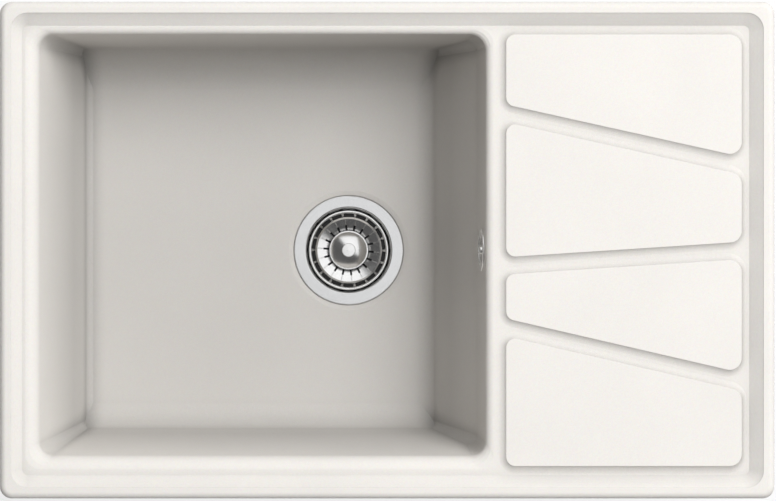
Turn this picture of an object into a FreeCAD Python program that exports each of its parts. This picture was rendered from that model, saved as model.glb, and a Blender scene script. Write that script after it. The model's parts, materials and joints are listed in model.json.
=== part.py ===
"""Composite kitchen sink with a moulded drainboard, its basket-strainer waste, overflow and worktop clamps.

Millimetres and degrees. +X runs to the drainboard, +Y to the wall behind the worktop, +Z up.
The origin is the centre of the sink's outline on the worktop's surface.
"""
import FreeCAD, Part
import math
import os

Vector = FreeCAD.Vector

# ---- outline and rim ----
sink_length = 780.0
sink_width = 500.0
outer_corner_r = 12.0
rim_height = 10.0
rim_width = 10.8
rim_edge_r = 6.0
rim_inner_corner_r = 17.0
rim_step = 0.7
lip_width = 3.0
rim_seal_width = 8.0
rim_seal_height = 2.0

# ---- deck inside the rim ----
deck_level = 0.2
deck_thickness = 7.2
cutout_overlap = 13.0
skirt_corner_r = 9.0
cove_left = 11.5
cove_right = 14.5
cove_front = 12.5
cove_rear = 13.0
cove_foot_corner_r = 6.0
cove_sweep = 9.0
cove_steps = 4

# ---- raised drainer panels and the grooves between them ----
panel_land_left = 3.8
panel_land_right = 1.7
panel_land_front = 0.9
panel_land_rear = 0.4
panel_rise = 4.2
panel_skirt = 8.5
panel_skirt_right = 5.8
panel_sweep = 52.0
panel_steps = 6
panel_left_corner_r = 9.0
panel_right_corner_r = 12.0
groove_width = 17.5
groove_shares = ((0.817, 0.696), (0.464, 0.4995), (0.321, 0.195))

# ---- bowl ----
mouth_length = 474.0
mouth_land_left = 1.5
mouth_land_front = 4.3
mouth_land_rear = 1.0
bowl_depth = 191.2
wall_thickness = 8.5
mouth_corner_r = 19.0
wall_corner_r = 13.0
lip_slopes = (88, 72, 58, 45, 32, 20)
floor_corner_r = 5.0
left_lip_r = 16.8
left_slope = 14.2
left_foot_r = 8.0
front_lip_r = 16.0
front_slope = 9.3
front_foot_r = 26.0
rear_lip_r = 7.8
rear_slope = 5.1
rear_foot_r = 41.0
right_lip_r = 8.9
right_upper_slope = 7.0
right_break_depth = 75.2
right_break_r = 50.0
right_slope = 21.7
right_foot_r = 16.0

# ---- ribs under the drainer ----
rib_width = 8.0
rib_height = 8.0
rib_pitch = 105.0

# ---- waste ----
waste_inset = 146.9
waste_y = 0.0
recess_r = 56.2
recess_depth = 2.2
recess_flare = 4.8
recess_flare_depth = 1.1
floor_hole_r = 45.0
flange_r = 55.6
flange_sheet = 1.0
flange_proud = 0.2
flange_lip = 0.6
cup_r = 41.5
cup_depth = 25.0
cup_flare = 2.0
cup_flare_depth = 3.0
cup_bend_r = 4.5
neck_bend_r = 1.2
neck_r = 24.6
neck_depth = 5.0
hub_r = 9.0
spoke_width = 4.0
flange_gasket_r = 53.0
body_gasket_r = 55.0
body_gasket_height = 2.5
body_flange_r = 56.0
body_flange_height = 3.5
body_collar_bend = 1.5
body_bend_r = 6.0
outlet_bend_r = 3.0
body_wall = 2.8
body_clearance = 1.0
body_depth = 38.0
body_cone_height = 22.0
outlet_r = 23.9
outlet_length = 28.0
outlet_wall = 3.0
port_drop = 32.0
port_reach = 72.0
port_shoulder_r = 12.5

# ---- waste bolt ----
bolt_r = 4.0
bolt_head_r = 6.5
bolt_head_height = 2.6
bolt_length = 20.0
pin_r = 3.4
bolt_insert_r = 6.0
bolt_insert_length = 12.0
bolt_hub_r = 8.5
bolt_hub_gap = 0.4
bolt_clearance = 0.2
pin_headroom = 1.5
body_rib_width = 3.0
body_rib_drop = 2.0

# ---- strainer basket ----
slot_count = 18
basket_sheet = 0.8
basket_rim_r = 40.5
basket_rim_inner_r = 38.2
basket_rim_drop = 0.5
basket_rim_depth = 2.4
basket_foot_r = 34.0
basket_wall_depth = 13.0
dish_r = 31.8
dish_drop = 14.2
dish_floor_r = 19.6
dish_floor_drop = 17.5
window_inner_r = 33.6
window_width = 10.4
window_top = 2.6
window_bottom = 14.5
slot_inner_r = 19.9
slot_outer_r = 25.6
slot_width = 2.0
slot_turn = 16.0
window_turn = 6.5
crease_inner_r = 25.0
crease_outer_r = 31.4
crease_r = 0.6
crease_depth = 0.25
knob_r = 18.4
knob_ring_r = 19.4
knob_ring_height = 0.8
knob_height = 11.5
knob_side_height = 7.2
knob_lip_height = 5.6
knob_edge_r = 0.5
knob_dome_r = 36.8
knob_cap_r = 7.0
knob_cap_recess = 2.0
knob_cap_proud = 0.8
knob_cap_crown = 0.2
knob_wall = 2.2
sleeve_r = 7.2
sleeve_clearance = 0.06
sleeve_shoulder_r = 11.0
stopper_r = 29.5
stopper_height = 3.0
stopper_lip = 0.4
stopper_edge = 0.9
stopper_slope = 3.5
retainer_r = 14.0
retainer_height = 1.2

# ---- overflow ----
overflow_drop = 37.6
rosette_r = 21.6
rosette_height = 1.3
rosette_sheet = 0.8
rosette_dish_r = 13.5
rosette_slope = 3.0
rosette_floor = 0.6
outer_hole_count = 12
outer_hole_ring_r = 11.0
outer_hole_r = 1.4
inner_hole_count = 6
inner_hole_ring_r = 7.4
inner_hole_r = 1.2
overflow_hole_r = 16.5
overflow_gasket_r = 24.0
overflow_gasket_height = 3.0
elbow_flange_r = 26.0
elbow_flange_height = 3.0
elbow_drum_r = 19.0
elbow_drum_length = 20.0
elbow_wall = 2.5
elbow_post_r = 5.0
post_setback = 2.0
overflow_insert_r = 3.2
overflow_insert_length = 12.0
overflow_screw_r = 2.0
overflow_screw_head_r = 4.5
overflow_screw_head_height = 1.6
overflow_screw_length = 12.0
screw_slot_width = 1.0
screw_slot_depth = 0.7
spout_drop = 48.0

# ---- overflow hose ----
spigot_r = 10.2
spigot_bore_r = 8.0
spigot_grip = 20.0
hose_cuff_r = 12.5
hose_cuff_taper = 2.0
hose_root_r = 11.6
hose_crest_r = 13.6
hose_pitch = 6.0
hose_bend_r = 60.0
hose_clip_width = 9.0
hose_clip_sheet = 1.0
hose_clip_lug = 5.0
hose_clip_lug_width = 7.0
hose_clip_lug_margin = 0.5

# ---- worktop clamps ----
clamp_inset = 24.0
clamp_side_inset = 22.5
clamp_spread = 130.0
boss_r = 7.0
boss_height = 9.0
clamp_insert_r = 4.0
clamp_insert_length = 9.0
clamp_screw_r = 2.5
clamp_screw_length = 46.0
clamp_head_r = 4.6
clamp_head_height = 3.2
hook_sheet = 2.5
hook_width = 14.0
hook_heel = 9.0
hook_arm = 30.0
hook_heel_height = 8.0
hook_tip_height = 13.0
hook_bend_r = 3.0
hook_clearance = 0.06
tooth_depth = 3.0

# ---- places and levels that follow from the sizes above ----
blend = 0.004                                   # how far a lip's curve starts above the deck, per radius
over = 30.0                                     # how far a cutting solid runs past what it cuts
overlap = 1.0                                   # how far joined solids run into each other
hair = 0.05                                     # keeps faces that would fall together apart
half_length = sink_length / 2
half_width = sink_width / 2
foot_left = -half_length + rim_width + cove_left
foot_right = half_length - rim_width - cove_right
foot_front = -half_width + rim_width + cove_front
foot_rear = half_width - rim_width - cove_rear
mouth_left = foot_left + mouth_land_left
mouth_right = mouth_left + mouth_length
mouth_front = foot_front + mouth_land_front
mouth_rear = foot_rear - mouth_land_rear
mouth_width = mouth_rear - mouth_front
bowl_x = (mouth_left + mouth_right) / 2
bowl_y = (mouth_front + mouth_rear) / 2
panel_left = mouth_right + panel_land_left + panel_skirt
panel_right = foot_right - panel_land_right - panel_skirt_right
panel_front = foot_front + panel_land_front + panel_skirt
panel_rear = foot_rear - panel_land_rear - panel_skirt
waste_x = mouth_right - waste_inset
clamp_end = half_length - clamp_inset
clamp_side = half_width - clamp_side_inset
clamp_middle = (panel_left + panel_right) / 2
clamp_places = (                                # name, x, y and the way the parked hook points
    ("left_rear", -clamp_end, clamp_spread, -90),
    ("left_front", -clamp_end, -clamp_spread, 90),
    ("right_rear", clamp_end, clamp_spread, -90),
    ("right_front", clamp_end, -clamp_spread, 90),
    ("rear", clamp_middle, clamp_side, 0),
    ("front", clamp_middle, -clamp_side, 0),
)
deck_under = deck_level - deck_thickness
bowl_floor = deck_level - bowl_depth
bowl_under = bowl_floor - wall_thickness
seat = bowl_floor                               # the level that the waste's parts are measured from
recess_floor = bowl_floor - recess_depth
cup_floor = seat + flange_proud - cup_depth
neck_bottom = cup_floor - neck_depth
cross_top = neck_bottom + flange_sheet
body_top = bowl_under - body_gasket_height
body_bottom = body_top - body_depth
outlet_top = body_bottom - body_cone_height
outlet_bottom = outlet_top - outlet_length
port_level = body_top - port_drop
dish_floor = seat - dish_floor_drop
overflow_level = deck_level - overflow_drop
boss_bottom = deck_under - boss_height
screw_top = boss_bottom + clamp_insert_length
screw_head_top = screw_top - clamp_screw_length


# ---- helpers ----
def on_z(level):
    return lambda p: Vector(p.x, p.y, level)


def on_xz(y):
    return lambda p: Vector(p.x, y, p.y)


def on_yz(x):
    return lambda p: Vector(x, p.x, p.y)


def rounded_wire(corners, place):
    """A closed wire through (a, b, radius) corners, each rounded by its radius."""
    points = [Vector(a, b, 0) for a, b, radius in corners]
    count = len(points)
    bends = []
    for i, (a, b, radius) in enumerate(corners):
        if radius <= 0:
            bends.append((points[i], None, points[i]))
            continue
        back = (points[i - 1] - points[i]).normalize()
        ahead = (points[(i + 1) % count] - points[i]).normalize()
        half = back.getAngle(ahead) / 2
        middle = (back + ahead).normalize()
        centre = points[i] + middle * (radius / math.sin(half))
        reach = radius / math.tan(half)
        bends.append((points[i] + back * reach, centre - middle * radius, points[i] + ahead * reach))
    edges = []
    for i, (first, middle, last) in enumerate(bends):
        if middle is not None:
            edges.append(Part.Arc(place(first), place(middle), place(last)).toShape())
        following = bends[(i + 1) % count][0]
        if last.distanceToPoint(following) > 1e-6:
            edges.append(Part.makeLine(place(last), place(following)))
    return Part.Wire(edges)


def rectangle(x0, y0, x1, y1, radius):
    return [(x0, y0, radius), (x1, y0, radius), (x1, y1, radius), (x0, y1, radius)]


def inset_rectangle(inset, radius):
    return rectangle(inset - half_length, inset - half_width, half_length - inset, half_width - inset, radius)


def slab(corners, low, high):
    return Part.Face(rounded_wire(corners, on_z(low))).extrude(Vector(0, 0, high - low))


def stack(rings):
    """A solid through level rings, each (corners, z), joined by straight lines."""
    return Part.makeLoft([rounded_wire(corners, on_z(z)) for corners, z in rings], True, True)


def turned(corners, x=0.0, y=0.0, z=0.0):
    """A solid of revolution about a vertical axis; corners are (radius, height, bend)."""
    face = Part.Face(rounded_wire(corners, on_xz(0)))
    solid = face.revolve(Vector(0, 0, 0), Vector(0, 0, 1), 360)
    solid.translate(Vector(x, y, z))
    return solid


def tube(outer, inner, low, high, x=0.0, y=0.0):
    return turned([(inner, low, 0), (outer, low, 0), (outer, high, 0), (inner, high, 0)], x, y)


def drum(radius, low, high, x=0.0, y=0.0):
    return Part.makeCylinder(radius, high - low, Vector(x, y, low))


def box(x0, y0, z0, x1, y1, z1):
    return Part.makeBox(x1 - x0, y1 - y0, z1 - z0, Vector(x0, y0, z0))


def sheet(path, gauge):
    """The closed section of a pressed sheet: the path is one skin, the other lies to its left."""
    points = [Vector(a, b, 0) for a, b, bend in path]
    runs = [(points[i + 1] - points[i]).normalize() for i in range(len(points) - 1)]
    normals = [Vector(-run.y, run.x, 0) for run in runs]
    other = []
    for i, (a, b, bend) in enumerate(path):
        before = normals[max(i - 1, 0)]
        after = normals[min(i, len(normals) - 1)]
        point = points[i] + (before + after) * (gauge / (1 + before.dot(after)))
        turn = before.cross(after).z
        inner_bend = max(bend - gauge, 0.1) if turn > 0 else bend + gauge
        other.append((point.x, point.y, inner_bend if bend > 0 else 0))
    return list(path) + other[::-1]


def bulge(start, end, radius):
    """The corner whose bend is an arc of the radius from start to end, swelling to the right."""
    across = (end[0] - start[0]) / 2
    up = (end[1] - start[1]) / 2
    lift = math.tan(math.asin(math.hypot(across, up) / radius))
    return (start[0] + across + up * lift, start[1] + up - across * lift, radius)


def rounds(solid, radius, keep):
    return solid.makeFillet(radius, [edge for edge in solid.Edges if keep(edge.BoundBox)])


def around(count, solid, centre, start=0.0):
    copies = []
    for i in range(count):
        copy = solid.copy()
        copy.rotate(centre, Vector(0, 0, 1), start + i * 360.0 / count)
        copies.append(copy)
    return copies


def hollow_arc(width, rise, sweep, steps):
    """Points of a hollow curve from its foot (0, 0) to (width, rise), flattest at the foot."""
    chord = math.atan2(rise, width)
    half = math.radians(sweep) / 2
    radius = math.hypot(width, rise) / (2 * math.sin(half))
    first = chord - half
    points = []
    for i in range(steps + 1):
        angle = first + 2 * half * i / steps
        points.append((radius * (math.sin(angle) - math.sin(first)),
                       radius * (math.cos(first) - math.cos(angle))))
    return points


def save(name, shape):
    shape.exportStep("parts/" + name + ".step")


# ---- bowl ----
class Side:
    """One side of the bowl in section: u runs outwards from the bowl's middle."""

    def __init__(self, mouth, lip_r, foot_r, upper, lower=None, break_level=None, break_r=0.0):
        self.mouth = mouth
        self.lip_r = lip_r
        self.foot_r = foot_r
        self.upper = math.radians(upper)
        self.lower = math.radians(upper if lower is None else lower)
        self.break_level = break_level
        self.break_r = break_r
        self.top = deck_level + blend * lip_r
        self.edge = mouth - lip_r / math.tan(math.pi / 4 + self.upper / 2)

    def break_at(self, grow):
        """The level where the upper wall meets the lower one, both moved out by grow."""
        drop = self.top - self.break_level
        lift = grow * (1 / math.cos(self.lower) - 1 / math.cos(self.upper))
        return self.break_level - lift / (math.tan(self.lower) - math.tan(self.upper)) if drop > 0 else self.top

    def wall(self, z, grow=0.0):
        """How far out the wall stands at a level, without its lip and foot."""
        u = self.edge - (self.top - z) * math.tan(self.upper) + grow / math.cos(self.upper)
        if self.break_level is None or z >= self.break_at(grow):
            return u
        turn = self.break_at(grow)
        return self.wall(turn, grow) - (turn - z) * math.tan(self.lower)

    def lip(self, z):
        """How far out the bowl reaches at a level, with its lip."""
        centre = self.top - self.lip_r
        if z >= self.top:
            return self.mouth
        if z > centre + self.lip_r * math.sin(self.upper):
            return self.mouth - math.sqrt(self.lip_r ** 2 - (z - centre) ** 2)
        return self.wall(z)

    def section(self, grow=0.0):
        """Corners from the top down to the floor."""
        floor = bowl_floor - grow
        if grow == 0:
            corners = [(self.mouth, self.top + over, 0), (self.mouth, self.top, 0),
                       (self.edge, self.top, self.lip_r)]
        else:
            corners = [(self.wall(0, grow), 0, 0)]
        if self.break_level is not None:
            turn = self.break_at(grow)
            corners.append((self.wall(turn, grow), turn, self.break_r + grow))
        corners.append((self.wall(floor, grow), floor, self.foot_r + grow))
        return corners


right = Side(mouth_length / 2, right_lip_r, right_foot_r, right_upper_slope,
             right_slope, deck_level - right_break_depth, right_break_r)
left = Side(mouth_length / 2, left_lip_r, left_foot_r, left_slope)
front = Side(mouth_width / 2, front_lip_r, front_foot_r, front_slope)
rear = Side(mouth_width / 2, rear_lip_r, rear_foot_r, rear_slope)


def channel(positive, negative, centre, grow, place, direction):
    """A long solid with the section of two facing sides of the bowl."""
    corners = [(centre + u, z, radius) for u, z, radius in positive.section(grow)]
    corners += [(centre - u, z, radius) for u, z, radius in reversed(negative.section(grow))]
    return Part.Face(rounded_wire(corners, place)).extrude(direction)


def bowl_ring(z, radius, reach):
    """The bowl's outline at a level, a hair outside the walls that the long solids cut."""
    return rectangle(bowl_x - reach(left, z) - hair, bowl_y - reach(front, z) - hair,
                     bowl_x + reach(right, z) + hair, bowl_y + reach(rear, z) + hair, radius)


def bowl_solid(grow=0.0):
    """The space inside the bowl, or with grow the outside of its shell."""
    length = channel(right, left, bowl_x, grow, on_xz(-sink_width), Vector(0, 2 * sink_width, 0))
    width = channel(rear, front, bowl_y, grow, on_yz(-sink_length), Vector(2 * sink_length, 0, 0))
    floor = bowl_floor - grow
    wall_top = deck_level - left_lip_r
    middle = deck_level - right_break_depth

    def corner_r(z):
        if z > wall_top:
            share = min((z - wall_top) / left_lip_r, 1)
            return wall_corner_r + (mouth_corner_r - wall_corner_r) * share
        return floor_corner_r + (wall_corner_r - floor_corner_r) * (z - floor) / (wall_top - floor) + grow

    rings = []
    if grow == 0:
        rings.append((bowl_ring(deck_level + over, mouth_corner_r, Side.lip), deck_level + over))
        for slope in lip_slopes:
            z = left.top - left_lip_r * (1 - math.sin(math.radians(slope)))
            rings.append((bowl_ring(z, corner_r(z), Side.lip), z))
        levels = (left.top - left_lip_r, middle, floor - over)
    else:
        levels = (0, right.break_at(grow), floor - over)
    for z in levels:
        radius = corner_r(max(z, floor))
        rings.append((bowl_ring(z, radius, lambda side, level: side.wall(level, grow)), z))
    return length.common(width).common(stack(rings))


# ---- sink ----
def deck_space():
    """The space above the deck inside the rim, with the hollow cove at its foot."""
    rise = rim_height - rim_step - deck_level
    curve = hollow_arc(cove_front, rise, cove_sweep, cove_steps)
    rings = []
    for run, lift in curve:
        share = run / cove_front
        radius = cove_foot_corner_r + (rim_inner_corner_r - cove_foot_corner_r) * share
        rings.append((rectangle(foot_left - cove_left * share, foot_front - cove_front * share,
                                foot_right + cove_right * share, foot_rear + cove_rear * share, radius),
                      deck_level + lift))
    rings.append((inset_rectangle(rim_width, rim_inner_corner_r), rim_height + over))
    return stack(rings)


def panel_outlines():
    """Each panel's rear and front edge, as its y at the left and at the right, from the rear one on."""
    reach = panel_rear - panel_front
    edges = [(panel_rear, panel_rear)]
    for left_share, right_share in groove_shares:
        slope = (right_share - left_share) * reach / (panel_right - panel_left)
        spread = groove_width / 2 * math.hypot(1, slope)
        for side in (spread, -spread):
            edges.append((panel_front + left_share * reach + side, panel_front + right_share * reach + side))
    edges.append((panel_front, panel_front))
    return [(edges[i], edges[i + 1]) for i in range(0, len(edges), 2)]


def grown_panel(rear_edge, front_edge, grow):
    """One panel's outline with each straight edge moved out by grow."""
    slope_rear = (rear_edge[1] - rear_edge[0]) / (panel_right - panel_left)
    slope_front = (front_edge[1] - front_edge[0]) / (panel_right - panel_left)
    lift_rear = grow * math.hypot(1, slope_rear)
    lift_front = grow * math.hypot(1, slope_front)
    x0 = panel_left - grow
    x1 = panel_right + grow * panel_skirt_right / panel_skirt
    left_r = panel_left_corner_r + grow
    right_r = panel_right_corner_r + grow
    return [
        (x0, front_edge[0] - lift_front - slope_front * grow, left_r),
        (x1, front_edge[1] - lift_front + slope_front * grow, right_r),
        (x1, rear_edge[1] + lift_rear + slope_rear * grow, right_r),
        (x0, rear_edge[0] + lift_rear - slope_rear * grow, left_r),
    ]


def panel(rear_edge, front_edge):
    """A raised flat panel with a hollow skirt, running a little way down into the deck."""
    sunk = 2 * hair
    curve = hollow_arc(panel_skirt, panel_rise + sunk, panel_sweep, panel_steps)
    rings = [(grown_panel(rear_edge, front_edge, panel_skirt), deck_level - overlap)]
    for run, lift in curve:
        rings.append((grown_panel(rear_edge, front_edge, panel_skirt - run), deck_level - sunk + lift))
    return stack(rings)


def clamp_boss(x, y):
    return drum(boss_r, deck_under - boss_height, deck_under + overlap, x, y)


def waste_recess():
    """The seat for the waste's flange and the shallow slope that runs down to it."""
    corners = [
        (0, -recess_depth, 0),
        (recess_r, -recess_depth, 0),
        (recess_r, -recess_flare_depth, 0),
        (recess_r + recess_flare, 0, 0),
        (recess_r + recess_flare, overlap, 0),
        (0, overlap, 0),
    ]
    return turned(corners, waste_x, waste_y, bowl_floor)


def sink_body():
    rim = slab(inset_rectangle(0, outer_corner_r), 0, rim_height)
    rim = rounds(rim, rim_edge_r, lambda b: b.ZMin > rim_height - 0.01)
    skirt = slab(inset_rectangle(cutout_overlap, skirt_corner_r), deck_under, overlap)
    solids = [skirt, bowl_solid(wall_thickness)]
    solids += [clamp_boss(x, y) for name, x, y, turn in clamp_places]
    for row in (-1, 0, 1):
        solids.append(box(panel_left, row * rib_pitch - rib_width / 2, deck_under - rib_height,
                          panel_right, row * rib_pitch + rib_width / 2, deck_under + overlap))
    body = rim.fuse(solids)
    body = body.cut(deck_space())
    body = body.cut(bowl_solid())
    body = body.fuse([panel(*edges) for edges in panel_outlines()])
    cuts = [waste_recess(), drum(floor_hole_r, bowl_under - over, bowl_floor, waste_x, waste_y), rim_seal()]
    hole = drum(overflow_hole_r, -over, wall_thickness + over / 2)
    hole.Placement = wall_out
    cuts.append(hole)
    for name, x, y, turn in clamp_places:
        cuts.append(drum(clamp_insert_r, boss_bottom - overlap, screw_top, x, y))
    return body.cut(cuts).removeSplitter()


def rim_seal():
    outer = slab(inset_rectangle(lip_width, outer_corner_r - lip_width), 0, rim_seal_height)
    gone = inset_rectangle(lip_width + rim_seal_width, skirt_corner_r)
    return outer.cut(slab(gone, -over, rim_seal_height + over))


# ---- waste ----
def waste_flange():
    """The pressed cup: a flat ring on the bowl's floor, a straight wall, a seat and a neck with a cross."""
    path = [
        (flange_r, flange_lip - recess_depth, 0),
        (flange_r, flange_proud, 0.9),
        (cup_r + cup_flare, flange_proud, 1.8),
        (cup_r, -cup_flare_depth, 2.5),
        (cup_r, cup_floor - seat, cup_bend_r),
        (neck_r, cup_floor - seat, neck_bend_r),
        (neck_r, neck_bottom - seat, 0),
    ]
    cup = turned(sheet(path, flange_sheet), waste_x, waste_y, seat)
    hub = drum(hub_r, neck_bottom, cross_top, waste_x, waste_y)
    reach = neck_r + flange_sheet / 2
    spokes = []
    for turn in (45, 135):
        spoke = box(-reach, -spoke_width / 2, neck_bottom, reach, spoke_width / 2, cross_top)
        spoke.rotate(Vector(0, 0, 0), Vector(0, 0, 1), turn)
        spoke.translate(Vector(waste_x, waste_y, 0))
        spokes.append(spoke)
    cup = cup.fuse([hub] + spokes)
    hole = drum(bolt_r + bolt_clearance, neck_bottom - over, cross_top + over, waste_x, waste_y)
    return cup.cut(hole).removeSplitter()


def flange_gasket():
    top = seat + flange_proud - flange_sheet
    return tube(flange_gasket_r, floor_hole_r, recess_floor, top, waste_x, waste_y)


def body_gasket():
    return tube(body_gasket_r, floor_hole_r, body_top, bowl_under, waste_x, waste_y)


def waste_body():
    """The moulded body under the bowl: a collar, a drum with a side port, a cone and the threaded outlet."""
    inner = cup_r + flange_sheet + body_clearance
    outer = inner + body_wall
    outlet_bore = outlet_r - outlet_wall
    corners = [
        (body_flange_r, body_top, 0),
        (body_flange_r, body_top - body_flange_height, 0),
        (outer, body_top - body_flange_height, body_collar_bend),
        (outer, body_bottom, body_bend_r),
        (outlet_r, outlet_top, outlet_bend_r),
        (outlet_r, outlet_bottom, 0),
        (outlet_bore, outlet_bottom, 0),
        (outlet_bore, outlet_top, outlet_bend_r),
        (inner, body_bottom, body_bend_r),
        (inner, body_top, 0),
    ]
    shell = turned(corners, waste_x, waste_y)
    hub_top = neck_bottom - bolt_hub_gap
    hub_bottom = hub_top - bolt_length
    hub = drum(bolt_hub_r, hub_bottom, hub_top, waste_x, waste_y)
    ribs = []
    for turn in (45, 135):
        rib = box(-inner - overlap, -body_rib_width / 2, hub_bottom,
                  inner + overlap, body_rib_width / 2, hub_top - body_rib_drop)
        rib.rotate(Vector(0, 0, 0), Vector(0, 0, 1), turn)
        rib.translate(Vector(waste_x, waste_y, 0))
        ribs.append(rib.common(drum(inner + overlap, hub_bottom - overlap, hub_top, waste_x, waste_y)))
    start = Vector(waste_x + inner, waste_y, port_level)
    along = Vector(1, 0, 0)
    port = Part.makeCylinder(spigot_r, port_reach - inner, start, along)
    shoulder = Part.makeCylinder(port_shoulder_r, port_reach - inner - spigot_grip, start, along)
    body = shell.fuse([hub, port, shoulder] + ribs)
    inside = Vector(waste_x + inner - body_wall, waste_y, port_level)
    cuts = [Part.makeCylinder(spigot_bore_r, port_reach, inside, along),
            drum(bolt_r + bolt_clearance, hub_bottom - over, hub_top + over, waste_x, waste_y),
            drum(bolt_insert_r, hub_bottom - over, hub_bottom + bolt_insert_length, waste_x, waste_y)]
    return body.cut(cuts).removeSplitter()


def bolt_insert():
    bottom = neck_bottom - bolt_hub_gap - bolt_length
    return tube(bolt_insert_r, bolt_r, bottom, bottom + bolt_insert_length, waste_x, waste_y)


def waste_bolt():
    """The bolt that pulls cup and body together; its pin guides the basket."""
    top = dish_floor + knob_height - knob_cap_recess - knob_wall - pin_headroom
    head_top = cross_top + bolt_head_height
    corners = [
        (0, cross_top - bolt_length, 0),
        (bolt_r, cross_top - bolt_length, 0),
        (bolt_r, cross_top, 0),
        (bolt_head_r, cross_top, 0),
        (bolt_head_r, head_top, 0.6),
        (pin_r, head_top, 0),
        (pin_r, top, pin_r / 3),
        (0, top, 0),
    ]
    return turned(corners, waste_x, waste_y)


# ---- strainer basket ----
shoulder_top = dish_floor - basket_sheet
stopper_top = cup_floor + stopper_height
stopper_under = cup_floor + stopper_lip
sleeve_bottom = stopper_under - retainer_height


def strainer_basket():
    """A pressed dish: rolled rim, windowed wall, creased floor with a ring of slots."""
    path = [
        (basket_rim_r, -basket_rim_depth, 0),
        (basket_rim_r, -basket_rim_drop, 0.9),
        (basket_rim_inner_r, -basket_rim_drop, 0.9),
        (basket_foot_r, -basket_wall_depth, 1.6),
        (dish_r, -dish_drop, 1.2),
        (dish_floor_r, -dish_floor_drop, 1.5),
        (sleeve_r, -dish_floor_drop, 0),
    ]
    dish = turned(sheet(path, basket_sheet))
    centre = Vector(0, 0, 0)
    window = box(window_inner_r, -window_width / 2, -window_bottom,
                 basket_rim_r - basket_sheet, window_width / 2, -window_top)
    slot = box(slot_inner_r, -slot_width / 2, -dish_floor_drop - over, slot_outer_r, slot_width / 2, over)
    slope = math.atan2(dish_floor_drop - dish_drop, dish_r - dish_floor_r)
    lift = crease_r - crease_depth
    axis = Vector(math.cos(slope), 0, math.sin(slope))
    inner_z = -dish_drop - (dish_r - crease_inner_r) * math.tan(slope)
    start = Vector(crease_inner_r - lift * math.sin(slope), 0, inner_z + lift * math.cos(slope))
    crease = Part.makeCylinder(crease_r, (crease_outer_r - crease_inner_r) / math.cos(slope), start, axis)
    cuts = around(slot_count, window, centre, slot_turn - window_turn)
    cuts += around(slot_count, slot, centre, slot_turn)
    cuts += around(slot_count, crease, centre, slot_turn)
    dish = dish.cut(cuts).removeSplitter()
    dish.translate(Vector(waste_x, waste_y, seat))
    return dish


def basket_knob():
    """A domed pull on a stem, with a ring at its base, room for fingertips and a recess for its cap."""
    bore = knob_height - knob_cap_recess - knob_wall
    stem_r = sleeve_r + knob_wall
    corners = [
        (sleeve_r, 0, 0),
        (knob_ring_r, 0, 0),
        (knob_ring_r, knob_ring_height, 0),
        (stem_r, knob_ring_height, knob_wall / 2),
        (stem_r, knob_side_height, knob_wall / 2),
        (knob_r - knob_wall, knob_lip_height, 0),
        (knob_r, knob_lip_height, knob_edge_r),
        (knob_r, knob_side_height, 0),
        bulge((knob_r, knob_side_height), (knob_cap_r, knob_height), knob_dome_r),
        (knob_cap_r, knob_height, 0),
        (knob_cap_r, knob_height - knob_cap_recess, 0),
        (0, knob_height - knob_cap_recess, 0),
        (0, bore, 0),
        (sleeve_r, bore, 0),
    ]
    return turned(corners, waste_x, waste_y, dish_floor)


def knob_cap():
    low = knob_height - knob_cap_recess
    edge = knob_height + knob_cap_proud
    corners = [(0, low, 0), (knob_cap_r, low, 0), (knob_cap_r, edge, 0.7), (0, edge + knob_cap_crown, 0)]
    return turned(corners, waste_x, waste_y, dish_floor)


def basket_sleeve():
    """The guide sleeve inside the knob; its shoulder keeps the stopper below the slots."""
    top = dish_floor + knob_height - knob_cap_recess - knob_wall
    inner = pin_r + sleeve_clearance
    corners = [
        (inner, sleeve_bottom, 0),
        (sleeve_r, sleeve_bottom, 0),
        (sleeve_r, stopper_top, 0),
        (sleeve_shoulder_r, stopper_top, 0),
        (sleeve_shoulder_r, shoulder_top, 0),
        (sleeve_r, shoulder_top, 0),
        (sleeve_r, top, 0),
        (inner, top, 0),
    ]
    return turned(corners, waste_x, waste_y)


def stopper_seal():
    corners = [
        (sleeve_r, stopper_under, 0),
        (neck_r, stopper_under, 0),
        (neck_r + neck_bend_r + bolt_clearance, cup_floor, 0),
        (stopper_r, cup_floor, 0),
        (stopper_r, cup_floor + stopper_edge, stopper_edge / 2),
        (stopper_r - stopper_slope, stopper_top, 1.0),
        (sleeve_r, stopper_top, 0),
    ]
    return turned(corners, waste_x, waste_y)


def seal_retainer():
    return tube(retainer_r, sleeve_r, sleeve_bottom, stopper_under, waste_x, waste_y)


# ---- overflow: parts are drawn along Z and set square to the bowl's right wall ----
overflow_point = Vector(bowl_x + right.wall(overflow_level), waste_y, overflow_level)
wall_out = FreeCAD.Placement(overflow_point, FreeCAD.Rotation(Vector(0, 1, 0), 90 + right_upper_slope))
wall_in = FreeCAD.Placement(overflow_point, FreeCAD.Rotation(Vector(0, 1, 0), right_upper_slope - 90))
elbow_face = wall_thickness + overflow_gasket_height
drum_start = elbow_face + elbow_flange_height
drum_end = drum_start + elbow_drum_length
spout_point = wall_out.multVec(Vector(0, 0, drum_start + elbow_drum_length / 2))
spout_bottom = spout_point.z - spout_drop


def seated(shape, placement):
    shape.Placement = placement
    return shape


def overflow_rosette():
    path = [
        (rosette_r, 0, 0),
        (rosette_r, rosette_height, 1.0),
        (rosette_dish_r + rosette_slope, rosette_height, 1.0),
        (rosette_dish_r, rosette_floor, 1.2),
        (overflow_screw_r + bolt_clearance, rosette_floor, 0),
    ]
    disc = turned(sheet(path, rosette_sheet))
    centre = Vector(0, 0, 0)
    holes = around(outer_hole_count, drum(outer_hole_r, -over, over, outer_hole_ring_r, 0), centre)
    holes += around(inner_hole_count, drum(inner_hole_r, -over, over, inner_hole_ring_r, 0), centre)
    return seated(disc.cut(holes), wall_in)


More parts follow.
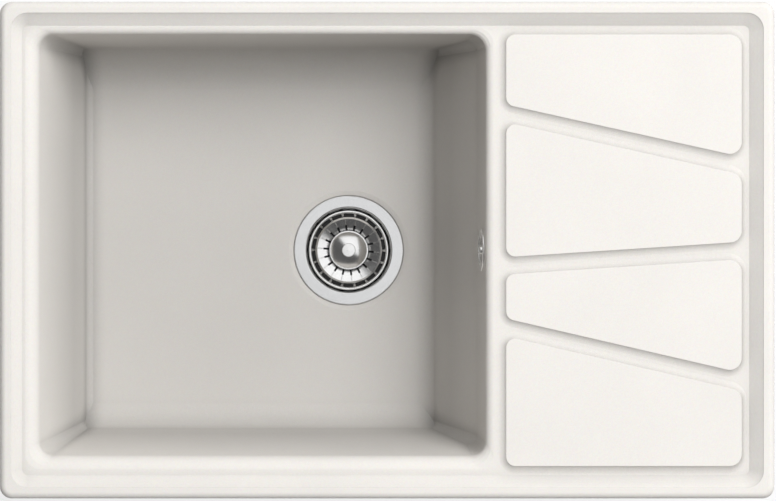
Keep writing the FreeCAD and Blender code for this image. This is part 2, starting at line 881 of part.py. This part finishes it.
def overflow_screw():
    head = rosette_floor + overflow_screw_head_height
    end = rosette_floor - overflow_screw_length
    corners = [
        (0, end, 0),
        (overflow_screw_r, end, 0),
        (overflow_screw_r, rosette_floor, 0),
        (overflow_screw_head_r, rosette_floor, 0),
        (overflow_screw_head_r, head, overflow_screw_head_height * 0.6),
        (0, head, 0),
    ]
    screw = turned(corners)
    slot = box(-overflow_screw_head_r, -screw_slot_width / 2, head - screw_slot_depth,
               overflow_screw_head_r, screw_slot_width / 2, head + over)
    return seated(screw.cut(slot), wall_in)


def overflow_gasket():
    return seated(tube(overflow_gasket_r, overflow_hole_r, wall_thickness, elbow_face), wall_out)


def overflow_elbow():
    """The moulded outlet behind the overflow: a round chamber with a post for the screw and a spout down."""
    outer = turned([
        (0, elbow_face, 0),
        (elbow_flange_r, elbow_face, 0),
        (elbow_flange_r, drum_start, 0.8),
        (elbow_drum_r, drum_start, 1.0),
        (elbow_drum_r, drum_end, 4.0),
        (0, drum_end, 0),
    ])
    room = turned([
        (elbow_post_r, elbow_face - over, 0),
        (elbow_drum_r - elbow_wall, elbow_face - over, 0),
        (elbow_drum_r - elbow_wall, drum_end - elbow_wall, 1.5),
        (elbow_post_r, drum_end - elbow_wall, 0),
    ])
    post = drum(elbow_post_r, post_setback, elbow_face + elbow_flange_height)
    insert_hole = drum(overflow_insert_r, post_setback - over, post_setback + overflow_insert_length)
    for shape in (outer, room, post, insert_hole):
        shape.Placement = wall_out
    down = Vector(0, 0, -1)
    start = Vector(spout_point.x, spout_point.y, spout_point.z - elbow_drum_r / 2)
    spout = Part.makeCylinder(spigot_r, start.z - spout_bottom, start, down)
    collar = Part.makeCylinder(port_shoulder_r, start.z - spout_bottom - spigot_grip, start, down)
    bore = Part.makeCylinder(spigot_bore_r, spout_drop + over, start, down)
    body = outer.fuse([spout, collar])
    body = body.cut([room, bore])
    body = body.fuse(post)
    return body.cut(insert_hole).removeSplitter()


def overflow_insert():
    insert = tube(overflow_insert_r, overflow_screw_r, post_setback, post_setback + overflow_insert_length)
    return seated(insert, wall_out)


# ---- overflow hose ----
port_end = Vector(waste_x + port_reach, waste_y, port_level)
hose_start = Vector(spout_point.x, waste_y, spout_bottom + spigot_grip)
hose_end = Vector(port_end.x - spigot_grip, waste_y, port_level)
bend_start = Vector(hose_start.x, waste_y, port_level + hose_bend_r)
bend_end = Vector(hose_start.x - hose_bend_r, waste_y, port_level)
drop_length = hose_start.z - bend_start.z
bend_length = hose_bend_r * math.pi / 2
hose_length = drop_length + bend_length + bend_end.x - hose_end.x


def hose_frame(distance):
    """The hose's middle and direction at a distance from its upper end."""
    if distance <= drop_length:
        return hose_start - Vector(0, 0, distance), Vector(0, 0, -1)
    if distance <= drop_length + bend_length:
        angle = (distance - drop_length) / hose_bend_r
        centre = Vector(bend_end.x, waste_y, bend_start.z)
        point = centre + Vector(math.cos(angle), 0, -math.sin(angle)) * hose_bend_r
        return point, Vector(-math.sin(angle), 0, -math.cos(angle))
    return bend_end - Vector(distance - drop_length - bend_length, 0, 0), Vector(-1, 0, 0)


def hose_ring(distance, radius):
    point, along = hose_frame(distance)
    steady = Vector(0, 1, 0)
    circle = Part.Circle(point, along, radius)
    circle.XAxis = steady
    return Part.Wire(circle.toShape())


def overflow_hose():
    """Plain cuffs on both spigots and a ribbed run between them."""
    cuff = spigot_grip + hose_cuff_taper
    count = round((hose_length - 2 * cuff) / hose_pitch)
    pitch = (hose_length - 2 * cuff) / count
    rings = [(0, hose_cuff_r), (spigot_grip, hose_cuff_r)]
    for i in range(count):
        start = cuff + i * pitch
        rings += [(start, hose_root_r), (start + pitch * 0.3, hose_root_r),
                  (start + pitch * 0.5, hose_crest_r), (start + pitch * 0.8, hose_crest_r)]
    rings += [(hose_length - cuff, hose_root_r),
              (hose_length - spigot_grip, hose_cuff_r), (hose_length, hose_cuff_r)]
    outside = Part.makeLoft([hose_ring(distance, radius) for distance, radius in rings], True, True)
    first = Part.makeLine(hose_start, bend_start)
    middle, along = hose_frame(drop_length + bend_length / 2)
    turn = Part.Arc(bend_start, middle, bend_end).toShape()
    last = Part.makeLine(bend_end, hose_end)
    route = Part.Wire([first, turn, last])
    bore = route.makePipeShell([hose_ring(0, spigot_r)], True, True)
    return outside.cut(bore)


def hose_clip():
    """A band with its tightening lug, drawn about Z."""
    band = tube(hose_cuff_r + hose_clip_sheet, hose_cuff_r, 0, hose_clip_width)
    lug = box(hose_cuff_r + hose_clip_sheet / 3, -hose_clip_lug_width / 2, hose_clip_lug_margin,
              hose_cuff_r + hose_clip_sheet + hose_clip_lug, hose_clip_lug_width / 2,
              hose_clip_width - hose_clip_lug_margin)
    return band.fuse(lug).removeSplitter()


def hose_clips():
    margin = (spigot_grip - hose_clip_width) / 2
    upper = hose_clip()
    upper.translate(Vector(hose_start.x, hose_start.y, hose_start.z - margin - hose_clip_width))
    lower = hose_clip()
    lower.rotate(Vector(0, 0, 0), Vector(0, 1, 0), 90)
    lower.translate(Vector(hose_end.x + margin, hose_end.y, hose_end.z))
    return Part.makeCompound([upper, lower])


# ---- worktop clamps ----
def clamp_inserts():
    return Part.makeCompound([tube(clamp_insert_r, clamp_screw_r, boss_bottom, screw_top, x, y)
                              for name, x, y, turn in clamp_places])


def clamp_screw(x, y):
    hex_corners = []
    for i in range(6):
        angle = math.radians(60 * i)
        hex_corners.append((x + clamp_head_r * math.cos(angle), y + clamp_head_r * math.sin(angle), 0))
    head = slab(hex_corners, screw_head_top - clamp_head_height, screw_head_top)
    shank = drum(clamp_screw_r, screw_head_top - overlap, screw_top, x, y)
    return head.fuse(shank).removeSplitter()


def clamp_screws():
    return Part.makeCompound([clamp_screw(x, y) for name, x, y, turn in clamp_places])


def clamp_hook(x, y, turn):
    """A bent steel strip with a heel and a toothed tip; it swings on its screw under the worktop."""
    corners = [
        (-hook_heel, hook_heel_height, 0),
        (-hook_heel, 0, hook_bend_r),
        (hook_arm, 0, hook_bend_r),
        (hook_arm, hook_tip_height, 0),
        (hook_arm - hook_sheet, hook_tip_height, 0),
        (hook_arm - hook_sheet, hook_sheet, hook_bend_r - hook_sheet),
        (-hook_heel + hook_sheet, hook_sheet, hook_bend_r - hook_sheet),
        (-hook_heel + hook_sheet, hook_heel_height, 0),
    ]
    strip = Part.Face(rounded_wire(corners, on_xz(-hook_width / 2))).extrude(Vector(0, hook_width, 0))
    gap = [(-hook_width / 4, hook_tip_height + overlap, 0), (0, hook_tip_height - tooth_depth, 0),
           (hook_width / 4, hook_tip_height + overlap, 0)]
    notch = Part.Face(rounded_wire(gap, on_yz(hook_arm - 2 * hook_sheet))).extrude(Vector(over, 0, 0))
    strip = strip.cut([notch, drum(clamp_screw_r + hook_clearance, -over, over)])
    strip.rotate(Vector(0, 0, 0), Vector(0, 0, 1), turn)
    strip.translate(Vector(x, y, screw_head_top))
    return strip


os.makedirs("parts", exist_ok=True)
save("sink_body", sink_body())
save("rim_seal", rim_seal())
save("waste_flange", waste_flange())
save("flange_gasket", flange_gasket())
save("body_gasket", body_gasket())
save("waste_body", waste_body())
save("bolt_insert", bolt_insert())
save("waste_bolt", waste_bolt())
save("strainer_basket", strainer_basket())
save("basket_knob", basket_knob())
save("knob_cap", knob_cap())
save("basket_sleeve", basket_sleeve())
save("stopper_seal", stopper_seal())
save("seal_retainer", seal_retainer())
save("overflow_rosette", overflow_rosette())
save("overflow_screw", overflow_screw())
save("overflow_gasket", overflow_gasket())
save("overflow_elbow", overflow_elbow())
save("overflow_insert", overflow_insert())
save("overflow_hose", overflow_hose())
save("hose_clips", hose_clips())
save("clamp_inserts", clamp_inserts())
save("clamp_screws", clamp_screws())
for name, x, y, turn in clamp_places:
    save("clamp_hook_" + name, clamp_hook(x, y, turn))
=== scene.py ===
"""Looks for the composite kitchen sink with drainboard. Metres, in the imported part's own frame."""
import json
import math

import bpy
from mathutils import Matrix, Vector


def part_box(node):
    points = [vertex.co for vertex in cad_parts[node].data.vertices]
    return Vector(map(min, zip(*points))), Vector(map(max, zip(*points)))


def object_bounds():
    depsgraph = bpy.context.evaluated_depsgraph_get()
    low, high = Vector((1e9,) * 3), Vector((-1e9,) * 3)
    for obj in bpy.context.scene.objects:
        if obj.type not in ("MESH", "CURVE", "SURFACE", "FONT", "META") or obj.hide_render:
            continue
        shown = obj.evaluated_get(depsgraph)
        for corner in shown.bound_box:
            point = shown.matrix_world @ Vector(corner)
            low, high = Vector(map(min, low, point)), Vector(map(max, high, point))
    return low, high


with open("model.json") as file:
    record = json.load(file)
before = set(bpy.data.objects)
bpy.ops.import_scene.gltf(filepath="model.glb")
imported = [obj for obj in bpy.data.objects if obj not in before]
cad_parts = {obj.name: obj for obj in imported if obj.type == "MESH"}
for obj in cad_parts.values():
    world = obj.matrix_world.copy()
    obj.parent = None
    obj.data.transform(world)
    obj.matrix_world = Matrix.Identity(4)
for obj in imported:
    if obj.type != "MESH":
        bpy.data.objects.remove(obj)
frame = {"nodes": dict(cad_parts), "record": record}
cad_low, cad_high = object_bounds()

# ---- the photograph's view: straight down, with a lens long enough to be nearly parallel ----
VIEW_WIDTH = 0.7814
VIEW_CENTRE = (0.0009, -0.0003)
LENS = 1000.0
SENSOR = 36.0
RIM_TOP = cad_high.z

# ---- the composite: linear colour, texture scales, and the painted shade that darkens it down the bowl and in hollows ----
COMPOSITE = (0.868, 0.84, 0.80)
GRAINS = 620.0
BLUSH = 85.0
CLOUDS = 9.0
GRIT = 1100.0
# painted shade: the composite's colour darkens down the bowl, from the lip to near the floor
BOWL_SHADE_TONE = 0.635
BOWL_SHADE_LEVELS = (-0.14, -0.02)
# painted shade: the colour darkens in hollows that ambient occlusion finds
HOLLOW_SHADE_TONE = 0.55
HOLLOW_SHADE_REACH = 0.02
HOLLOW_SHADE_LEVELS = (0.6, 1.0)

# ---- the metals' linear colours, dark and light, and the scales of grain and brushing ----
FLANGE_STEEL = ((0.75, 0.755, 0.76), (0.83, 0.835, 0.84))
KNOB_STEEL = ((0.90, 0.90, 0.895), (0.97, 0.97, 0.965))
BASKET_STEEL = ((0.92, 0.92, 0.915), (0.98, 0.98, 0.975))
SCREW_STEEL = ((0.52, 0.52, 0.51), (0.66, 0.66, 0.65))
ZINC_STEEL = ((0.50, 0.52, 0.54), (0.68, 0.69, 0.69))
BRASS = ((0.62, 0.43, 0.16), (0.74, 0.55, 0.24))
# painted shade: the near-black colour the cup's steel takes below its rim
CUP_SHADE = (0.035, 0.035, 0.035)
FOAM_GRAIN = 700.0
FINE_GRAIN = 1500.0
BRUSH_LINES = 2600.0

# ---- the studio: one large lamp, a pale world and floor, and a dark screen for reflections ----
WHITE = (1.0, 1.0, 1.0, 1.0)
AMBIENT = 0.10
KEY_AZIMUTH = 41.0
KEY_ELEVATION = 65.0
KEY_DISTANCE = 5.0
KEY_SIZE = 3.4
KEY_POWER = 298.0
SCREEN_AZIMUTHS = (128.0, 330.0)
SCREEN_ELEVATIONS = (8.0, 80.0)
SCREEN_DISTANCE = 3.0
SCREEN_STEPS = 12
SCREEN_GREY = (0.13, 0.13, 0.13, 1.0)
FLOOR_GREY = (0.93, 0.93, 0.93, 1.0)
FLOOR_REACH = 6.0
FLOOR_GAP = 0.0005
FLOOR_GLOW = 0.8

# ---- places read from the frame ----
FLANGE_LOW, FLANGE_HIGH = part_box("waste_flange")
CUP_BRIGHT_LEVEL = FLANGE_HIGH[2] - 0.0012
CUP_DARK_LEVEL = FLANGE_HIGH[2] - 0.004
WASTE = ((FLANGE_LOW[0] + FLANGE_HIGH[0]) / 2, (FLANGE_LOW[1] + FLANGE_HIGH[1]) / 2, 0.0)


# ---- node helpers ----
class Surface:
    """A material with a Principled shader and short ways to add nodes to it."""

    def __init__(self, name, **constants):
        self.material = bpy.data.materials.new(name)
        self.material.use_nodes = True
        self.nodes = self.material.node_tree.nodes
        self.links = self.material.node_tree.links
        self.shader = self.nodes["Principled BSDF"]
        for key, value in constants.items():
            self.shader.inputs[key.replace("_", " ")].default_value = value
        coordinates = self.nodes.new("ShaderNodeTexCoord")
        self.place = coordinates.outputs["Object"]

    def set(self, socket, value):
        """Gives a socket a link or a plain value."""
        if isinstance(value, bpy.types.NodeSocket):
            self.links.new(value, socket)
        else:
            socket.default_value = value

    def add(self, kind, inputs=None, **settings):
        node = self.nodes.new(kind)
        for key, value in settings.items():
            setattr(node, key, value)
        for key, value in (inputs or {}).items():
            self.set(node.inputs[key], value)
        return node

    def noise(self, scale, detail=2.0, roughness=0.5, vector=None, output="Fac"):
        return self.add("ShaderNodeTexNoise", {
            "Vector": vector or self.place, "Scale": scale, "Detail": detail, "Roughness": roughness,
        }).outputs[output]

    def span(self, value, low, high, from_low=0.3, from_high=0.7):
        """Maps a value from one range to another."""
        return self.add("ShaderNodeMapRange", {
            "Value": value, "From Min": from_low, "From Max": from_high, "To Min": low, "To Max": high,
        }).outputs["Result"]

    def math(self, operation, a, b=0.0):
        return self.add("ShaderNodeMath", {0: a, 1: b}, operation=operation).outputs[0]

    def vector(self, operation, a, b=(0.0, 0.0, 0.0)):
        return self.add("ShaderNodeVectorMath", {0: a, 1: b}, operation=operation)

    def mix(self, share, a, b, blend="MIX"):
        node = self.add("ShaderNodeMix", data_type="RGBA", blend_type=blend)
        self.set(node.inputs[0], share)
        self.set(node.inputs[6], a)
        self.set(node.inputs[7], b)
        return node.outputs[2]

    def bump(self, height, strength, distance):
        inputs = {"Height": height, "Strength": strength, "Distance": distance}
        return self.add("ShaderNodeBump", inputs).outputs["Normal"]

    def feed(self, key, socket):
        self.links.new(socket, self.shader.inputs[key])


def rgba(colour):
    return tuple(colour) + (1.0,)


# ---- materials ----
def composite():
    """Matt granite composite: nearly white, with very fine pale grains, and with painted shade that darkens
    it down the bowl and in hollows.
    """
    s = Surface("composite", Specular_IOR_Level=0.35)
    grains = s.add("ShaderNodeTexVoronoi", {"Vector": s.place, "Scale": GRAINS}).outputs["Color"]
    blush = s.noise(scale=BLUSH, output="Color")
    tint = s.mix(0.10, rgba(COMPOSITE), grains, "OVERLAY")
    tint = s.mix(0.035, tint, blush, "OVERLAY")
    cloud = s.span(s.noise(scale=CLOUDS, detail=3.0), 0.985, 1.015)
    grit = s.span(s.noise(scale=GRIT), 0.965, 1.02)
    height = s.add("ShaderNodeSeparateXYZ", {0: s.place}).outputs["Z"]
    # painted shade: the colour darkens down the bowl
    painted_bowl_shade = s.span(height, BOWL_SHADE_TONE, 1.0, *BOWL_SHADE_LEVELS)
    # painted shade: the colour darkens in hollows found by ambient occlusion
    hollow_occlusion = s.add("ShaderNodeAmbientOcclusion", {"Distance": HOLLOW_SHADE_REACH}, only_local=True, samples=8)
    painted_hollow_shade = s.span(hollow_occlusion.outputs["AO"], HOLLOW_SHADE_TONE, 1.0, *HOLLOW_SHADE_LEVELS)
    # the random tone of clouds and grit, times the painted shade down the bowl and in hollows
    tone_and_painted_shade = s.math("MULTIPLY", s.math("MULTIPLY", cloud, grit), s.math("MULTIPLY", painted_bowl_shade, painted_hollow_shade))
    s.feed("Base Color", s.mix(1.0, tint, tone_and_painted_shade, "MULTIPLY"))
    s.feed("Roughness", s.span(s.noise(scale=700.0, detail=3.0), 0.40, 0.58))
    s.feed("Normal", s.bump(s.noise(scale=900.0, detail=3.0), strength=0.10, distance=0.0002))
    return s.material


def turned_steel(name, colours, low, high, shaded_cup=False):
    """Stainless steel brushed in circles round the waste. Where asked, painted shade darkens it down in the
    cup.
    """
    s = Surface(name, Metallic=1.0, Anisotropic=0.3)
    from_axis = s.vector("SUBTRACT", s.place, WASTE).outputs[0]
    flat = s.vector("MULTIPLY", from_axis, (1.0, 1.0, 0.0)).outputs[0]
    radius = s.vector("LENGTH", flat).outputs["Value"]
    height = s.add("ShaderNodeSeparateXYZ", {0: s.place}).outputs["Z"]
    rings = s.add("ShaderNodeCombineXYZ", {"X": s.math("MULTIPLY", radius, BRUSH_LINES),
                                           "Y": s.math("MULTIPLY", height, BRUSH_LINES)}).outputs[0]
    lines = s.noise(scale=1.0, detail=3.0, roughness=0.6, vector=rings)
    colour = s.mix(s.span(lines, 0.0, 1.0), rgba(colours[0]), rgba(colours[1]))
    if shaded_cup:
        # painted shade: the steel darkens towards near black down in the cup
        painted_cup_shade = s.span(height, 1.0, 0.0, CUP_DARK_LEVEL, CUP_BRIGHT_LEVEL)
        colour = s.mix(painted_cup_shade, colour, rgba(CUP_SHADE))
    s.feed("Base Color", colour)
    s.feed("Roughness", s.span(lines, low, high))
    s.feed("Normal", s.bump(lines, strength=0.12, distance=0.0001))
    tangent = s.add("ShaderNodeTangent", direction_type="RADIAL", axis="Z")
    s.feed("Tangent", tangent.outputs["Tangent"])
    return s.material


def polished_steel():
    """Bright steel with faint wipe marks."""
    s = Surface("polished_steel", Metallic=1.0)
    wipe = s.noise(scale=160.0, detail=4.0, roughness=0.65)
    s.feed("Base Color", s.mix(s.span(wipe, 0.0, 1.0), rgba(BASKET_STEEL[0]), rgba(BASKET_STEEL[1])))
    s.feed("Roughness", s.span(wipe, 0.16, 0.25))
    s.feed("Normal", s.bump(s.noise(scale=900.0), strength=0.04, distance=0.0001))
    return s.material


def plain_steel(name, colours, low, high):
    """Machined or plated metal: small clouds in colour and gloss."""
    s = Surface(name, Metallic=1.0)
    cloud = s.noise(scale=240.0, detail=4.0, roughness=0.6)
    s.feed("Base Color", s.mix(s.span(cloud, 0.0, 1.0), rgba(colours[0]), rgba(colours[1])))
    s.feed("Roughness", s.span(s.noise(scale=500.0), low, high))
    s.feed("Normal", s.bump(cloud, strength=0.08, distance=0.0002))
    return s.material


def moulded(name, colour, low, high, grain=FINE_GRAIN):
    """Moulded plastic or rubber: an even colour with a fine spark-eroded grain."""
    s = Surface(name, Specular_IOR_Level=0.45)
    cloud = s.span(s.noise(scale=35.0, detail=3.0), 0.95, 1.04)
    s.feed("Base Color", s.mix(1.0, rgba(colour), cloud, "MULTIPLY"))
    s.feed("Roughness", s.span(s.noise(scale=260.0, detail=3.0), low, high))
    s.feed("Normal", s.bump(s.noise(scale=grain), strength=0.15, distance=0.0001))
    return s.material


SURFACES = {
    "composite": composite(),
    "foam_seal": moulded("foam_seal", (0.045, 0.045, 0.047), 0.85, 0.98, FOAM_GRAIN),
    # the flange's cup gets painted shade below its rim
    "pressed_steel": turned_steel("pressed_steel", FLANGE_STEEL, 0.17, 0.27, shaded_cup=True),
    "white_rubber": moulded("white_rubber", (0.62, 0.62, 0.60), 0.55, 0.7),
    "black_rubber": moulded("black_rubber", (0.022, 0.022, 0.023), 0.5, 0.7),
    "white_plastic": moulded("white_plastic", (0.78, 0.78, 0.765), 0.34, 0.46),
    "hose_plastic": moulded("hose_plastic", (0.66, 0.67, 0.68), 0.36, 0.5),
    "grey_plastic": moulded("grey_plastic", (0.18, 0.185, 0.19), 0.4, 0.55),
    "brass": plain_steel("brass", BRASS, 0.24, 0.38),
    "steel_screws": plain_steel("steel_screws", SCREW_STEEL, 0.22, 0.36),
    "polished_steel": polished_steel(),
    "zinc_steel": plain_steel("zinc_steel", ZINC_STEEL, 0.3, 0.46),
}
TURNED_KNOB = turned_steel("turned_knob", KNOB_STEEL, 0.17, 0.25)
OWN_SURFACES = {"basket_knob": TURNED_KNOB, "knob_cap": TURNED_KNOB}

for part in frame["record"]["subparts"]:
    node = frame["nodes"][part["node"]]
    node.data.materials.clear()
    node.data.materials.append(OWN_SURFACES.get(part["node"], SURFACES[part["material_slot"]]))


# ---- studio ----
def white_world(ambient):
    """A world that is white to camera, glossy and transmission rays, and as weak as ambient to the rest."""
    world = bpy.data.worlds.new("studio")
    world.use_nodes = True
    nodes = world.node_tree.nodes
    links = world.node_tree.links
    path = nodes.new("ShaderNodeLightPath")
    seen = path.outputs["Is Camera Ray"]
    for kind in ("Is Glossy Ray", "Is Transmission Ray"):
        either = nodes.new("ShaderNodeMath")
        either.operation = "MAXIMUM"
        links.new(seen, either.inputs[0])
        links.new(path.outputs[kind], either.inputs[1])
        seen = either.outputs[0]
    level = nodes.new("ShaderNodeMapRange")
    level.inputs["To Min"].default_value = ambient
    level.inputs["To Max"].default_value = 1.0
    links.new(seen, level.inputs["Value"])
    background = nodes["Background"]
    background.inputs["Color"].default_value = WHITE
    links.new(level.outputs["Result"], background.inputs["Strength"])
    return world


def towards(azimuth, elevation, distance):
    """A point at a distance from the object, in degrees from +X and from level."""
    turn = math.radians(azimuth)
    rise = math.radians(elevation)
    level = math.cos(rise)
    return Vector((level * math.cos(turn), level * math.sin(turn), math.sin(rise))) * distance


def area_light(name, place, size, power):
    """A square lamp that faces the object."""
    light = bpy.data.lights.new(name, "AREA")
    light.shape = "SQUARE"
    light.size = size
    light.energy = power
    lamp = bpy.data.objects.new(name, light)
    bpy.context.scene.collection.objects.link(lamp)
    lamp.location = place
    lamp.rotation_euler = (-place).to_track_quat("-Z", "Y").to_euler()
    return lamp


def stage_board(name, corners, faces, colour):
    """A matt board of the studio, kept out of the part, and its surface."""
    mesh = bpy.data.meshes.new(name)
    mesh.from_pydata(corners, [], faces)
    board = bpy.data.objects.new(name, mesh)
    bpy.context.scene.collection.objects.link(board)
    surface = Surface(name, Roughness=0.9, Base_Color=colour)
    mesh.materials.append(surface.material)
    return board, surface


def curved_screen(name, azimuths, elevations, distance, colour):
    """A screen bent round the object, between two azimuths and two elevations, seen only in reflections."""
    corners = []
    for i in range(SCREEN_STEPS + 1):
        azimuth = azimuths[0] + (azimuths[1] - azimuths[0]) * i / SCREEN_STEPS
        for j in range(SCREEN_STEPS + 1):
            elevation = elevations[0] + (elevations[1] - elevations[0]) * j / SCREEN_STEPS
            corners.append(towards(azimuth, elevation, distance))
    row = SCREEN_STEPS + 1
    faces = [(i * row + j, (i + 1) * row + j, (i + 1) * row + j + 1, i * row + j + 1)
             for i in range(SCREEN_STEPS) for j in range(SCREEN_STEPS)]
    screen, _ = stage_board(name, corners, faces, colour)
    screen.visible_camera = False
    screen.visible_diffuse = False
    screen.visible_transmission = False
    screen.visible_shadow = False


def pale_floor(level):
    """A floor that keeps the object's shadow, and is nearly white to the camera."""
    corners = [(-FLOOR_REACH, -FLOOR_REACH, level), (FLOOR_REACH, -FLOOR_REACH, level),
               (FLOOR_REACH, FLOOR_REACH, level), (-FLOOR_REACH, FLOOR_REACH, level)]
    _, s = stage_board("floor", corners, [(0, 1, 2, 3)], FLOOR_GREY)
    glow = s.add("ShaderNodeEmission", {"Color": WHITE}).outputs[0]
    seen = s.add("ShaderNodeLightPath").outputs["Is Camera Ray"]
    share = s.math("MULTIPLY", seen, FLOOR_GLOW)
    both = s.add("ShaderNodeMixShader", {0: share, 1: s.shader.outputs[0], 2: glow}).outputs[0]
    s.links.new(both, s.nodes["Material Output"].inputs["Surface"])


def top_camera():
    """The camera over the sink, as far off as its long lens needs for the view's width."""
    distance = VIEW_WIDTH * LENS / SENSOR
    lens = bpy.data.cameras.new("camera")
    lens.lens = LENS
    lens.sensor_width = SENSOR
    lens.clip_end = distance * 2
    camera = bpy.data.objects.new("camera", lens)
    bpy.context.scene.collection.objects.link(camera)
    camera.location = (VIEW_CENTRE[0], VIEW_CENTRE[1], RIM_TOP + distance)
    camera.rotation_euler = (0.0, 0.0, 0.0)
    return camera


bpy.context.scene.world = white_world(AMBIENT)
key = area_light("key", towards(KEY_AZIMUTH, KEY_ELEVATION, KEY_DISTANCE), KEY_SIZE, KEY_POWER)
key.visible_glossy = False
curved_screen("dark_screen", SCREEN_AZIMUTHS, SCREEN_ELEVATIONS, SCREEN_DISTANCE, SCREEN_GREY)
pale_floor(cad_low.z - FLOOR_GAP)
bpy.context.scene.camera = top_camera()
bpy.context.scene.view_settings.view_transform = "Standard"
